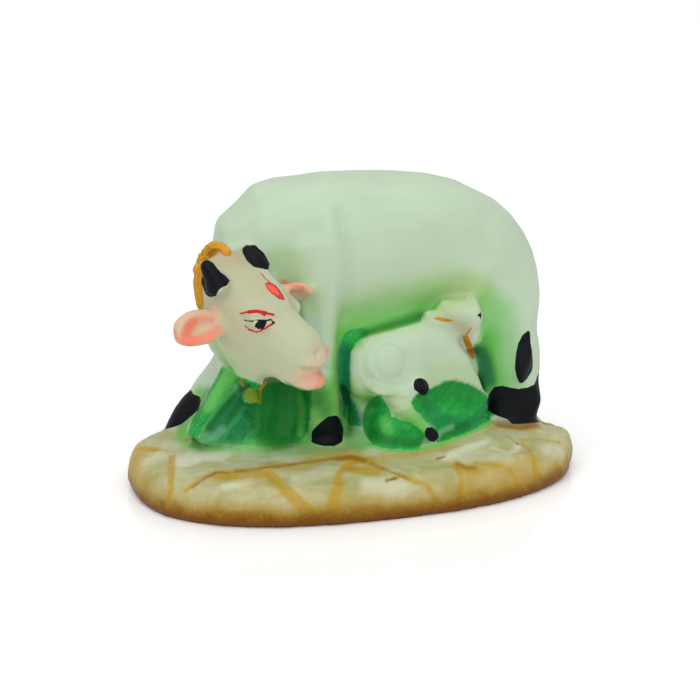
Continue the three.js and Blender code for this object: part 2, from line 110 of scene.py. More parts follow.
# Carving: half width and height in millimetres (a groove is below zero), and the line
CARVED = [
    # the cow's back, flank, forelegs and haunch
    (1.5, 0.22, [(258, 186), (300, 187), (350, 191), (400, 192), (444, 201), (470, 215), (491, 234),
                 (505, 253), (512, 274), (512, 300)]),
    (1.0, -0.6, [(338, 212), (344, 236), (348, 262), (348, 290), (345, 318)]),
    (1.6, 0.5, [(326, 216), (332, 250), (333, 280), (330, 310), (328, 350), (329, 400)]),
    (1.6, -0.25, [(312, 250), (312, 290), (314, 320)]),
    (2.4, -0.35, [(436, 232), (446, 252), (452, 280), (462, 300)]),
    (4.0, -0.3, [(388, 225), (400, 260), (396, 290)]),
    # the cow's face: mouth, nostril, lids, brow, jaw and cheek
    (0.45, -0.5, [(326, 367.5), (320, 369.5), (312, 371), (302, 371)]),
    (0.5, 0.15, [(326, 361), (318, 364), (308, 365)]),
    (0.4, -0.3, [(319, 350), (316, 354), (317, 357)]),
    (0.9, 0.22, [(238, 310), (247, 306), (256, 304), (266, 306), (276, 311)]),
    (0.5, -0.22, [(243, 317), (252, 315), (262, 315), (273, 318)]),
    (1.0, 0.2, [(252, 323), (260, 325), (267, 324)]),
    (0.45, -0.15, [(246, 329), (256, 334.5), (266, 332), (275, 326)]),
    (2.4, -0.3, [(284, 322), (296, 346), (302, 360)]),
    (2.0, -0.25, [(240, 372), (256, 366), (276, 366), (292, 374)]),
    (1.5, -0.2, [(232, 292), (240, 300), (250, 300)]),
    # the near ear's hollow and rim
    (0.5, 0.15, [(197, 312), (186, 320), (178, 332), (182, 343), (196, 345), (212, 340)]),
    (0.8, -0.25, [(210, 322), (198, 326), (193, 334), (204, 336), (216, 331)]),
    # the calf's haunch with its carved rings, its tail and its foot
    (0.6, 0.06, oval(389, 359, 8, 10)),
    (0.45, -0.06, oval(390, 361, 14, 17)),
    (0.5, 0.07, oval(388, 362, 18.5, 21.5, 60, 330)),
    (0.45, -0.07, oval(387, 363, 23, 26, 80, 250)),
    (0.35, 0.12, [(375, 383), (386, 388), (398, 389), (410, 386)]),
    (0.35, -0.12, [(371, 377), (380, 383), (394, 385), (409, 380)]),
    (0.4, -0.2, [(358, 380), (366, 391), (380, 397), (396, 399), (410, 400)]),
    (0.5, -0.3, [(385, 399), (391, 415), (401, 422), (412, 424), (420, 434)]),
    (0.5, -0.3, [(413, 402), (419, 414), (428, 424), (438, 430)]),
    (0.7, 0.2, [(398, 404), (404, 412), (414, 421), (424, 430)]),
    (0.8, 0.15, [(372, 335.5), (395, 329), (423, 322), (438, 322)]),
    (0.9, 0.2, [(440, 323), (456, 336), (470, 352), (480, 376), (486, 388)]),
    (2.2, -0.2, [(425, 345), (428, 360), (424, 375)]),
    # the rim of the mound under the calf
    (0.5, 0.2, [(364, 420), (372, 438), (389, 446), (410, 448), (440, 441), (466, 430), (490, 420)]),
    # folds of the rock under the cow's chest, and the hollow beside them
    (0.6, 0.4, [(238, 388), (226, 404), (210, 424), (192, 443)]),
    (0.4, -0.4, [(243, 390), (232, 405), (218, 423), (202, 441)]),
    (0.6, 0.35, [(247, 404), (238, 420), (226, 436)]),
    (0.4, -0.35, [(231, 386), (217, 403), (202, 423), (188, 440)]),
    (0.4, -0.3, [(251, 408), (250, 424), (244, 442)]),
    (0.6, 0.3, [(258, 406), (258, 424), (254, 444)]),
    (0.4, -0.25, [(247, 416), (252, 421), (250, 430)]),
    (2.2, -0.9, [(284, 384), (283, 408), (281, 430)]),
    (0.8, 0.3, [(296, 392), (297, 410), (291, 432)]),
    (0.7, -0.25, [(224, 372), (212, 388), (203, 402)]),
    # the shoulder and the haunch on the hidden side, and the seam of the hind legs
    (2.2, -0.3, [(-17, 11, 30), (-15, 12, 38), (-10, 12, 46)]),
    (2.6, -0.35, [(15, 12, 28), (12, 12, 37), (15, 12, 45), (22, 11, 49)]),
    (2.4, 0.25, [(-21, 11, 22), (-20, 12, 32), (-16, 12, 42)]),
    (0.8, -0.35, [(30, 6, 11), (31, 5, 18), (32, 4, 26)]),
    # low edges of rock on the base
    (0.7, 0.3, [(176, 462), (181, 453), (190, 446)]),
    (0.8, -0.25, [(170, 462), (175, 453), (184, 446)]),
    (0.7, 0.28, [(446, 455), (461, 448), (477, 443), (491, 441)]),
    (1.6, -0.3, [(466, 455), (484, 450), (506, 448)]),
    (0.8, 0.25, [(400, 463), (418, 470), (436, 473), (452, 470)]),
    (0.8, 0.25, [(462, 480), (474, 478), (490, 472), (508, 468)]),
    (0.9, 0.25, [(220, 488), (236, 484), (252, 478), (262, 478)]),
    (1.2, -0.2, [(228, 492), (250, 490), (270, 496)]),
    (0.9, 0.22, [(366, 478), (384, 480), (402, 486)]),
    (0.8, 0.2, [(190, 478), (206, 470), (226, 465)]),
    (1.0, -0.18, [(196, 462), (214, 456), (232, 455)]),
    (0.8, 0.22, [(524, 456), (536, 452), (552, 454)]),
]

# Seams between the rock slabs of the base, where the ochre paint has settled:
# half width in millimetres, depth in millimetres, and the line
SEAMS = [
    (0.35, 0.2, [(185, 491), (195, 482.5), (206, 476.5), (217, 472.8)]),
    (0.9, 0.15, [(219, 476), (234, 477)]),
    (0.5, 0.2, [(235, 472), (250, 470.6), (260, 471.3), (268, 474)]),
    (0.85, 0.25, [(268, 474), (278.4, 483), (287, 492)]),
    (1.1, 0.22, [(287, 492), (297.5, 502), (309, 514)]),
    (0.22, 0.14, [(262, 468), (281, 466.2), (296, 464), (325, 459.6), (350, 455)]),
    (0.6, 0.2, [(352, 463), (344, 468), (338, 476), (340, 484)]),
    (0.85, 0.26, [(339, 482), (335, 495), (331, 508), (325.4, 521)]),
    (0.55, 0.2, [(173, 456), (171.3, 468), (171.3, 489), (168.5, 503)]),
    (0.45, 0.18, [(130, 455), (138, 449.3), (147, 449.3), (154, 450)]),
    (0.18, 0.12, [(154, 450), (175, 451.5)]),
    (0.5, 0.15, [(349, 468), (367, 469)]),
    (0.25, 0.2, [(364, 461), (383, 469), (398, 475)]),
    (0.45, 0.2, [(398, 475), (413.5, 481), (424, 484), (432, 492), (436, 503)]),
    (0.45, 0.22, [(456.3, 463), (458, 470.5), (461, 481), (461, 493), (458, 504)]),
    (0.3, 0.15, [(474.7, 463), (499, 465), (508, 469), (514.5, 476.6), (517.6, 484)]),
    (0.3, 0.15, [(522, 440), (531, 438.4), (546.6, 440), (560, 443)]),
    (0.16, 0.25, [(487, 426), (493, 427), (502, 433.8), (519, 443.7)]),
    (0.35, 0.22, [(522, 443), (528, 449), (533.6, 458), (535, 469), (536, 476.6)]),
    (0.2, 0.15, [(387, 480), (397, 478)]),
    (0.18, 0.12, [(440, 457.5), (444, 457)]),
    # the same on the base's hidden side, as points of the base in millimetres
    (0.55, 0.24, [(-30, 6, 9), (-26, 14, 8.4), (-24, 19, 6), (-25, 21.5, 2)]),
    (0.5, 0.2, [(-14, 12, 9), (-6, 17, 8.4), (4, 19, 8), (14, 17, 8.6), (26, 16, 8)]),
    (0.55, 0.24, [(4, 19, 8), (2, 22.5, 5), (3, 24, 1)]),
    (0.5, 0.22, [(26, 16, 8), (31, 18, 5), (33, 18.5, 1)]),
    (0.4, 0.2, [(-14, 12, 9), (-13, 19, 8), (-11, 23, 4)]),
    (0.4, 0.2, [(36, 0, 8), (38.5, 2, 5), (39.5, 3, 1)]),
]

# Places drawn out: the place, how far round it, and the move to the right, up and
# towards the front of the sheet, all in millimetres
PULLS = [
    ((318, 383), 2.2, (0.7, -0.1, 0.0)),
    ((316, 390), 1.6, (0.0, 0.5, 0.0)),
    ((286, 377), 2.2, (0.0, -1.2, 0.0)),
    ((484, 330), 1.6, (-0.9, 0.0, 0.0)),
    ((466, 295), 0.9, (0.0, 0.4, 0.0)),
    ((252, 380), 2.0, (0.0, -0.7, 0.0)),
    ((320, 368.5), 0.9, (-0.5, 0.0, 0.0)),
    ((207, 362), 4.0, (1.0, 0.0, 0.0)),
    ((533, 400), 2.4, (1.2, 0.0, 0.0)),
    ((545, 419), 2.4, (-0.7, -1.2, 0.0)),
    ((37.8, 3.8, 6.2), 3.2, (-0.3, -1.4, 0.0)),
    ((563, 434), 3.0, (0.7, 0.3, 0.0)),
    ((146, 447), 4.0, (-0.3, 0.5, 0.0)),
    ((537, 324), 2.4, (-0.7, 0.0, 0.0)),
    ((445, 304), 1.6, (-0.5, 0.6, 0.0)),
    ((427, 314), 1.0, (-0.3, 0.4, 0.0)),
    ((437, 311), 0.7, (0.1, -0.4, 0.0)),
    ((303, 289), 2.2, (0.2, -0.1, -0.4)),
    ((222, 230), 5.0, (-0.7, 0.2, 0.0)),
    ((262, 186), 4.0, (-0.4, 0.6, 0.0)),
    ((184, 341), 1.6, (-0.7, -0.4, 0.0)),
    ((186, 399), 2.0, (0.6, 0.0, 0.0)),
    ((203, 257), 1.6, (0.5, -0.2, -0.2)),
    ((199, 284), 3.0, (-0.5, 0.0, 0.0)),
]
# How far a point goes to its neighbours' mean in one round of smoothing
EASE = 0.5
# Creases that the resin has filled, in so many rounds: half width, softness, strength, line
WEB_ROUNDS = 60
FILLED = [
    (3.0, 3.0, 1.0, [(345, 318), (380, 318), (425, 312)]),
    (1.6, 1.6, 1.0, [(200, 258), (199, 270), (200, 284)]),
    (3.0, 3.0, 1.0, [(-16, 7, 28), (0, 8, 28), (14, 8, 28)]),
]
# The cow's neck rope: two strands side by side along these lines
ROPE = [
    [(227, 251.5), (222, 246.8), (214.5, 245), (209, 248), (205, 253), (201, 261), (198.6, 270),
     (197.5, 281), (197.8, 293), (200, 306), (202, 312)],
    [(-26.4, -2, 42.6), (-27.8, -5, 42.6), (-29.5, -8, 42)],
    [(-26.4, -1, 42.4), (-27.4, 0.6, 39.5), (-28, 2.5, 36), (-26.6, 4.2, 32.5), (-25, 5.1, 28.7),
     (-23.6, 5.1, 25.3)],
]
# Half its width, its height, half the width of the cleft between the strands, and how far the
# gold paint reaches from its middle
ROPE_WIDTH = 0.64
ROPE_HEIGHT = 0.6
ROPE_CLEFT = 0.13
ROPE_GOLD = 0.95

# Areas that keep their edges, and areas that get finer points, each round half the spacing:
# how far the area reaches and how deep its middle lies, in millimetres, and its outline
HEAD = (17, 3, [(168, 335), (182, 303), (194, 290), (190, 262), (208, 240), (245, 243), (272, 262),
                (318, 282), (318, 300), (304, 320), (332, 345), (332, 390), (290, 393), (240, 375),
                (200, 350)])
CALF = (13, 3, [(349, 355), (351, 349), (357, 343), (363, 338), (372, 335.5), (386, 331.5), (404, 326),
                (420, 322), (421, 316), (424, 311.5), (430, 309.5), (436, 310), (439, 305), (441, 299.5),
                (446, 298.5), (455, 299), (460, 295), (466, 292), (473, 293), (478, 300), (481, 309),
                (482, 318), (481, 330), (477, 341), (474, 349), (480, 372), (487, 385), (492, 395),
                (487, 392), (478, 388.5), (468, 384), (455, 380.5), (445, 381), (437, 386), (427.5, 390),
                (416, 395), (411, 402), (409, 409), (400, 414), (391, 411), (388.8, 407), (382, 397),
                (377, 391), (372, 389), (362, 387), (355, 382), (349, 376)])
MUZZLE = (6, 1, [(262, 366), (280, 377), (294, 387), (310, 391.5), (322, 390), (327, 378), (322, 371),
                 (329, 358), (328, 345), (300, 325), (270, 345)])
CRISP_AREAS = [
    HEAD,
    (4, 0, [(238, 376), (264, 376), (266, 405), (238, 405)]),
    (13, 2, [(346, 350), (372, 332), (418, 320), (420, 308), (440, 296), (478, 290), (487, 318), (484, 350),
             (492, 392), (455, 380), (425, 378), (390, 390), (352, 404)]),
    (7, 0, [(516, 325), (536, 325), (538, 384), (516, 386)]),
]
FINE_AREAS = [
    [
        HEAD,
        (4, 0, [(238, 374), (264, 376), (268, 405), (238, 405)]),
        (8, 1, [(424, 315), (440, 296), (478, 290), (487, 318), (478, 362), (460, 345)]),
        (6, 0, [(356, 345), (372, 334), (396, 332), (412, 348), (432, 378), (430, 400), (396, 404),
                (362, 384)]),
    ],
    [
        (4.5, 0, [(236, 307), (276, 306), (280, 322), (262, 337), (244, 332)]),
        (4, 0, [(256, 270), (266, 270), (290, 292), (290, 304), (276, 302), (262, 290)]),
        (1.6, 0, [(474, 310), (483, 310), (483, 322), (474, 322)]),
    ],
]

# Paint marks: a polygon on the sheet is filled as far as `reach` millimetres round a middle
# that lies `sink` millimetres under the skin
INK_AREAS = [
    (3.9, 1.6, [(198.4, 265), (201, 260), (206, 259), (212, 261), (217, 268), (221, 272.5), (226, 276),
                (230, 280.5), (227, 285.5), (222, 287.5), (219, 290), (217, 293), (216, 296), (211, 297),
                (208, 296.6), (205, 293), (201.5, 283)]),
    (3.4, 1.2, [(242, 249), (246, 245), (255, 245), (264, 253), (273, 269.8), (265, 269.4), (254, 267),
                (247, 261), (243, 254)]),
    (5.4, 3, [(311.3, 441.7), (311.7, 431.7), (315.8, 426.7), (322.5, 420.8), (328, 416.5),
              (336.7, 415.3), (340.8, 420), (343.5, 430), (342.5, 441.7), (335, 446),
              (323.3, 446), (314.2, 443.5)]),
    (6.5, 2, [(155, 432), (162.5, 423), (170, 412), (177.5, 402), (184, 392), (190, 388),
              (193.3, 394), (200, 396.7), (201.3, 400.8), (198.3, 410), (191.7, 415.8),
              (181.7, 424.2), (173.3, 427.2), (166.2, 429)]),
    (14, 4, [(489, 394), (494, 387), (502.5, 385.6), (510, 387.5), (518.8, 388.8), (527.5, 387.5),
             (534.4, 384.4), (538, 374), (543, 366), (543, 394), (540.5, 422), (521, 424),
             (512, 424), (507.5, 419.4), (495, 415), (489, 411), (487, 402)]),
    (7, 1, [(528, 330.6), (530, 331), (530.5, 342.5), (532, 351), (533, 361), (532, 371),
            (526.9, 378.8), (521.9, 383.8), (519.4, 383), (516.3, 376.3), (514.8, 367.5),
            (515.6, 356.3), (518, 343.8), (522.5, 335)]),
    (2.4, 1, [(413.4, 384), (415, 379.5), (420, 377.8), (425, 379.5), (428.5, 384), (429, 390),
              (426, 395.5), (422, 395.5), (417.5, 392), (414, 389.3)]),
    (2.4, 1, [(424.4, 432.5), (426.5, 427.5), (431.9, 427), (438, 432), (439, 437.5),
              (435, 441.6), (430, 441.6), (425, 436.6)]),
    (3, 1, [(485.2, 398.5), (489, 393.5), (494, 395), (496, 405), (494.8, 412), (489.4, 411.6),
            (485.2, 406)]),
    (1.5, 0, [(477, 315.6), (479, 313.5), (480.5, 312), (481.5, 315), (480.8, 319.8), (479.3, 316.5)]),
    (2, 0, [(257.5, 321.4), (259, 319.5), (265, 319.5), (267, 321), (265.7, 325.5), (263.6, 328.9),
            (258.4, 329.2), (254.3, 326.8), (255.6, 323.8)]),
]
# No black lies lower than this, in millimetres
INK_FLOOR = 7.4
INK_LINES = [
    (0.12, [(244.3, 320), (248, 321), (253, 321.3)]),
    (0.1, [(253, 320.6), (258, 320), (264, 320.3)]),
    (0.15, [(264, 321), (268, 320.3), (271, 319.4)]),
    (0.13, [(271.8, 320.6), (274.6, 322.8), (272.6, 323.2)]),
]
ROSE_AREAS = [
    (3.5, 0, [(264.9, 283.4), (268.2, 281.9), (273.6, 284.1), (279.5, 289.1), (284, 296.4),
              (284.8, 300.4), (279.3, 299.5), (272.1, 294), (266.8, 288.8)]),
]
CRIMSON_LINES = [
    (0.16, [(240.7, 313.6), (247.1, 312.2)]),
    (0.3, [(248.5, 312), (256.4, 311.2), (265, 312.6)]),
    (0.2, [(265, 313), (273.6, 314.6)]),
    (0.24, [(262.4, 313.4), (264.5, 315)]),
    (0.12, [(245, 325.7), (249.3, 329.6)]),
    (0.25, [(249.3, 329.6), (256.4, 332), (262, 329.6)]),
    (0.2, [(263.6, 329), (268, 326.4), (272.9, 323.6)]),
]
ROSE_LINES = [(0.16, [(261, 273.4), (265, 278.2), (271, 283.2), (276.4, 286.3)])]
VERMILION_AREAS = [
    (3, 0, [(266.6, 284.4), (272.9, 285.5), (277.4, 290.1), (280, 294.6), (277.3, 295.4),
            (271.2, 291.4), (267.8, 287.8)]),
]
GOLD_LINES = [
    (1.1, [(215, 250), (208, 255), (203, 263), (200, 272)]),
    (1.4, [(-26.4, -3, 42.6), (-26.6, -1, 42.2)]),
    (0.25, [(240, 381), (243, 385), (247, 389)]),
    (0.28, [(266, 382), (263, 386), (259, 390)]),
    (0.18, [(466.5, 334.5), (471, 328)]),
]
GOLD_AREAS = [
    (4, 0, [(433, 318.6), (438, 317), (444, 317.8), (455, 320.8), (447, 322), (440, 321)]),
    (5, 1, [(462.5, 335.5), (467, 334.5), (470.5, 341), (474, 351), (474.4, 360), (471.5, 359),
            (467, 350), (463.5, 342)]),
]
BRASS_AREAS = [
    (2.8, 1, [(241.5, 392), (246, 390), (250, 388), (255, 389.8), (261.5, 388.5), (261.5, 397), (261, 404.5),
              (256, 402.6), (252, 404), (247.5, 402.4), (245, 399.6), (242, 396.5)]),
]

GREEN_AREAS = [
    # the rock under the cow's chest
    (13, 0, [(216, 378), (222, 366), (235, 375), (262, 385), (290, 380), (312, 385), (311, 412),
             (308, 432), (300, 443), (280, 445), (262, 446), (236, 445), (214, 442), (200, 443),
             (191, 439), (188, 432), (191, 423), (195, 412), (200, 400), (209, 390)]),
    # the strip between the near foreleg and the calf
    (13, 0, [(355, 328), (362.5, 328), (372, 331), (364, 336), (356, 343), (351, 352), (350, 362),
             (350, 398), (355, 404), (360, 420), (361, 426), (350, 425), (342.5, 416), (344, 404),
             (340, 391), (338, 382), (339, 360), (341, 340), (346, 332)]),
    # the ground on both sides of the calf's hind leg
    (6, 0, [(372.5, 390), (377.5, 391), (382.5, 397.5), (388.8, 407.5), (391, 416), (400, 420),
            (410, 422.5), (418.5, 428), (424.5, 434), (432, 441), (440, 438), (441, 443), (425, 448),
            (410, 450), (388.8, 449), (373, 445), (365, 436), (362, 426), (361.5, 415), (364, 403),
            (370, 398)]),
    (12, 0, [(411, 402.5), (416, 395), (427.5, 390), (437.5, 386), (445, 381), (455, 380.6),
            (467.5, 383.8), (477.5, 388.8), (485, 394), (492, 400), (494, 414), (489, 421),
            (472.5, 430), (456, 437), (438, 443), (434, 436), (432.5, 427.5), (427.5, 423.8),
            (420, 415), (413.8, 408.8)]),
]

# The painted rock, the calf and the cow's muzzle lie on the near side of this, in millimetres
NEAR_SIDE = 3.5
# Paints that lie round the calf and the cow's muzzle and not on them
GROUND_PAINTS = ("mist", "lime", "teal", "frost", "moss")

# Soft paint, one table for each colour: half width and softness in millimetres, strength,
# and the line
SOFT = {
    "sage": [
        (1.0, 4.0, 0.55, [(284, 262), (296, 284), (306, 300)]),
        (1.0, 3.5, 0.9, [(430, 306), (444, 292), (462, 284), (480, 290)]),
        (1.5, 6.0, 0.7, [(352, 318), (384, 306), (440, 292)]),
        (1.0, 3.0, 0.7, [(330, 396), (330, 410)]),
        (1.0, 3.0, 0.5, [(232, 368), (250, 376), (262, 378)]),
        (1.0, 3.0, 0.4, [(432, 376), (452, 376), (470, 378)]),
        (1.0, 2.5, 0.5, [(392, 400), (400, 410), (414, 422)]),
        (0.8, 1.6, 0.8, [(353, 386), (357, 396), (368, 392)]),
        # painted shade in the grooves of the calf's carved rings
        (0.1, 0.5, 0.2, oval(390, 361, 14, 17)),
        (0.1, 0.5, 0.25, oval(387, 363, 23, 26, 80, 250)),
        (2.0, 3.0, 0.6, [(218, 340), (222, 356)]),
    ],
    "cream": [
        (6.0, 3.5, 1.0, [(232, 300), (258, 325), (270, 345)]),
        (4.0, 3.0, 1.0, [(290, 350), (312, 365)]),
        (3.0, 2.0, 1.0, [(180, 330), (205, 325)]),
        (3.0, 2.0, 1.0, [(220, 262), (240, 262)]),
        (1.5, 3.0, 0.15, [(440, 305), (470, 300), (470, 330)]),
    ],
    "tan": [
        (1.5, 2.5, 0.6, [(222, 256), (240, 256)]),
        (2.0, 3.5, 0.25, [(236, 272), (250, 284)]),
        (1.5, 3.0, 0.25, [(232, 316), (234, 340)]),
        (0.6, 1.2, 0.5, [(292, 298), (293, 307)]),
        (1.0, 2.0, 0.3, [(456, 322), (466, 330)]),
    ],
    "blush": [
        (1.2, 2.0, 0.6, [(208, 312), (192, 314), (180, 322), (176, 334)]),
        (1.5, 2.0, 0.5, [(204, 328), (196, 330)]),
        (1.3, 0.7, 0.85, [(289, 288), (304, 291)]),
        (0.5, 1.5, 0.5, [(296, 298), (306, 294)]),
        (1.0, 2.2, 0.3, [(322, 356), (312, 378)]),
        # pale pink on the chin and lower jaw, partly painted light where the jaw lies in shade
        (1.0, 1.6, 0.6, [(304, 380), (314, 386), (321, 380)]),
    ],
    "coral": [
        (0.2, 1.0, 0.45, [(212, 319), (202, 318), (194, 322)]),
        (0.5, 1.1, 0.9, [(192, 323), (187, 330), (186, 336), (190, 340)]),
        (0.2, 0.5, 0.65, [(184, 341), (192, 343), (204, 342), (214, 338)]),
        (0.3, 0.9, 0.7, [(198, 339), (210, 335), (218, 330)]),
        (0.15, 0.4, 0.7, [(174.5, 330), (177, 338), (183, 344), (192, 345.8)]),
        (0.3, 0.9, 0.6, [(284, 284), (290, 286)]),
        (0.2, 0.5, 0.7, [(284, 283), (293, 284.5), (302, 287)]),
        (0.15, 0.6, 0.25, [(302, 287), (311, 290)]),
        (0.25, 0.9, 0.5, [(327, 350), (327.5, 358), (324, 365)]),
        (0.4, 1.3, 0.65, [(321, 375), (324, 380), (321, 385)]),
        (0.5, 1.6, 0.18, [(309, 370), (312, 378)]),
    ],
    "mist": [
        # under the belly and down to the calf's back
        (0.3, 3.0, 0.85, [(346, 336), (358, 330), (384, 325), (402, 320), (424, 313)]),
        (0.5, 6.5, 0.5, [(352, 330), (384, 325), (402, 320), (428, 312)]),
        (2.0, 8.0, 0.7, [(-9, 6, 18), (0, 6, 20), (9, 7, 18)]),
        (1.0, 2.5, 0.8, [(30, 6, 12), (31, 5, 18)]),
        (1.0, 5.0, 0.25, [(358, 318), (396, 306), (430, 298)]),
        # round the calf's head, between it and the hind leg, and in the leg's shade
        (0.8, 3.0, 0.3, [(484, 300), (490, 316)]),
        (1.5, 3.0, 0.95, [(484, 340), (484, 360), (490, 380)]),
        (2.0, 4.5, 0.55, [(492, 316), (497, 345), (500, 376)]),
        # the forelegs and the chest between them
        (1.0, 3.0, 0.75, [(316, 388), (316, 410), (312, 434)]),
        (0.8, 3.0, 0.75, [(326, 392), (326, 412)]),
        (0.6, 1.6, 0.6, [(352, 392), (357, 402), (366, 396)]),
        (0.8, 2.0, 0.8, [(416, 424), (424, 431)]),
        (0.25, 0.5, 0.9, [(368, 444), (388, 450.5), (410, 451.5), (440, 444.5), (468, 433.5), (492, 421.5)]),
        (0.8, 2.5, 0.6, [(402, 414), (416, 424)]),
        (0.8, 2.0, 0.8, [(340, 336), (337, 360), (336, 400), (345, 424)]),
        (1.5, 3.0, 0.7, [(212, 396), (204, 412), (196, 430)]),
        # the calf: leg, belly and the ground beside it
        (1.5, 3.0, 0.4, [(408, 374), (440, 372), (468, 374)]),
        (0.6, 2.2, 0.85, [(200, 396), (194, 412), (188, 424), (184, 434)]),
        (0.4, 2.0, 0.5, [(186, 442), (200, 445), (216, 446)]),
        (1.0, 2.0, 0.7, [(350, 428), (354, 438), (360, 446)]),
    ],
    "lime": [
        (0.8, 1.6, 0.85, [(231, 370), (220, 386), (210, 404)]),
        (0.4, 1.0, 0.7, [(236, 392), (222, 412), (206, 432)]),
        (0.3, 0.9, 0.7, [(297, 388), (304, 410), (300, 434)]),
        (0.4, 1.6, 0.6, [(214, 445), (240, 447), (266, 446), (292, 445), (312, 441)]),
        (0.8, 2.2, 0.4, [(262, 450), (290, 452), (316, 451), (344, 446)]),
        (0.4, 1.2, 0.5, [(386, 424), (388, 434)]),
        (0.5, 3.0, 0.5, [(-12, 7, 10), (0, 7, 10), (13, 8, 10)]),
    ],
    "teal": [
        (0.8, 1.6, 0.8, [(243, 394), (230, 410), (216, 428)]),
        (0.8, 1.6, 0.6, [(250, 406), (246, 422), (236, 436)]),
        (0.8, 1.4, 0.7, [(345, 352), (345, 375), (350, 404), (357, 418)]),
        (1.0, 2.0, 0.75, [(479, 352), (484, 366), (486, 378)]),
        (0.6, 1.6, 0.5, [(428, 408), (440, 422), (460, 426)]),
        (0.5, 1.2, 0.5, [(486, 402), (482, 414), (470, 424)]),
        (0.6, 1.8, 0.4, [(208, 438), (226, 442)]),
    ],
    # Frost is partly painted highlight: milky pale strokes standing for light on the strands of the painted
    # rock
    "frost": [
        (0.2, 0.6, 0.4, [(437, 437), (442, 431), (452, 427)]),
        (0.15, 0.4, 0.3, [(428, 424), (434, 428)]),
        (0.3, 1.0, 0.3, [(202, 440), (214, 436), (222, 430)]),
    ],
    "folds": [
        (2.2, 2.5, 1.0, [(246, 392), (226, 414), (206, 434)]),
        (1.5, 2.0, 1.0, [(250, 404), (250, 424), (240, 440)]),
        (0.8, 1.5, 0.8, [(344, 350), (345, 380), (350, 404), (356, 418)]),
        (1.5, 2.0, 0.3, [(430, 400), (455, 410), (480, 404)]),
        (1.2, 1.6, 0.4, [(372, 400), (378, 430), (400, 440)]),
        (1.2, 1.2, 0.5, [(200, 415), (192, 432)]),
    ],
    # Moss is mostly painted shade: deep green in the hollows, under the belly, behind the calf's legs and
    # along the foot of the rock; the thin lines on the chest are brush strokes
    "moss": [
        (0.5, 4.5, 0.35, [(-13, 7, 22), (-6, 7, 26), (6, 7, 26), (12, 8, 22)]),
        (3.2, 3.0, 0.75, [(276, 394), (277, 408), (276, 426)]),
        (0.4, 1.0, 0.35, [(192, 445), (204, 446), (220, 446)]),
        (0.2, 0.7, 0.9, [(234, 396), (222, 410), (208, 428)]),
        (0.2, 0.7, 0.8, [(240, 402), (232, 414), (226, 424)]),
        (0.2, 0.6, 0.7, [(246, 412), (253, 418), (254, 426)]),
        (0.8, 2.0, 0.6, [(262, 392), (300, 386), (312, 398)]),
        (0.4, 1.6, 0.5, [(323, 394), (325, 412)]),
        (0.4, 1.4, 0.5, [(207, 392), (201, 406), (196, 418)]),
        (0.4, 1.0, 0.7, [(372, 434), (390, 441), (412, 443), (440, 436), (466, 426)]),
        (0.6, 1.5, 0.6, [(372, 400), (370, 416), (374, 430)]),
        (1.0, 2.5, 0.5, [(424, 398), (448, 390), (470, 392)]),
        (0.3, 1.5, 0.7, [(366, 333), (384, 327.5), (402, 322.5), (420, 316)]),
    ],
    "ochre": [
        (0.8, 2.0, 0.6, [(270, 466), (290, 468), (312, 463)]),
        (0.5, 0.8, 0.7, [(136, 449), (146, 449), (156, 450)]),
        (0.8, 2.0, 0.5, [(316, 458), (336, 454), (352, 452)]),
        (1.5, 3.0, 0.5, [(476, 484), (500, 478), (530, 470)]),
        (0.8, 1.5, 0.5, [(456, 468), (466, 470), (476, 468)]),
        (1.2, 1.6, 0.6, [(222, 476), (236, 477), (250, 476)]),
        (1.0, 2.5, 0.4, [(330, 458), (352, 460), (376, 460)]),
        (0.9, 1.4, 0.85, [(346, 457), (356, 459), (366, 461)]),
        (0.8, 1.4, 0.8, [(350, 469), (362, 471), (374, 471)]),
        (0.6, 1.6, 0.6, [(492, 426), (512, 428), (536, 426)]),
        (0.3, 1.2, 0.5, [(384, 455), (410, 455), (440, 448), (468, 437), (490, 427)]),
        (1.0, 2.5, 0.5, [(137, 456), (135, 470), (140, 486)]),
        (0.4, 1.0, 0.5, [(460, 471), (474, 470)]),
        (0.6, 1.5, 0.4, [(264, 476), (282, 490)]),
    ],
    # Olive strokes are mostly painted shade: darker olive at the feet of the hooves and along the foot of
    # the painted rock; a few are stains in the stone
    "olive": [
        (0.8, 2.5, 0.8, [(308, 450), (330, 451), (352, 448)]),
        (1.0, 2.5, 0.7, [(160, 430), (176, 434), (188, 438)]),
        (1.2, 2.0, 0.6, [(462, 469), (474, 469)]),
        (1.0, 2.0, 0.5, [(400, 454), (424, 453), (446, 446)]),
        (1.0, 2.0, 0.5, [(484, 432), (500, 446), (512, 448)]),
        (1.0, 2.5, 0.4, [(380, 466), (400, 462), (420, 464)]),
        (1.0, 2.0, 0.4, [(528, 448), (540, 446)]),
        (0.8, 2.0, 0.4, [(196, 444), (214, 446), (232, 450)]),
    ],
    # Pearl is partly painted highlight: pale lines along the raised edges of the rock slabs, besides pale
    # patches of stone
    "pearl": [
        (1.2, 1.6, 0.8, [(186, 462), (198, 454), (220, 456)]),
        (0.5, 1.0, 0.7, [(226, 485), (240, 482), (250, 480)]),
        (0.25, 1.0, 0.7, [(445, 459), (459, 451), (477, 445), (488, 439)]),
        (0.25, 0.8, 0.7, [(493, 448), (508, 453.5), (516, 451), (519, 445)]),
        (1.0, 1.6, 0.5, [(466, 458), (486, 454), (506, 458)]),
        (0.3, 0.6, 0.7, [(240, 439), (244, 439)]),
        (0.2, 0.4, 0.7, [(282, 442), (286, 442)]),
        (0.8, 1.8, 0.5, [(300, 478), (318, 474)]),
        (0.8, 1.8, 0.5, [(370, 484), (400, 488)]),
        (0.8, 1.8, 0.45, [(480, 486), (500, 482)]),
        (0.6, 1.4, 0.5, [(146, 462), (158, 456)]),
        (0.6, 1.6, 0.5, [(548, 450), (562, 452)]),
        (1.2, 2.5, 0.6, [(-20, 17, 8), (-8, 20, 7)]),
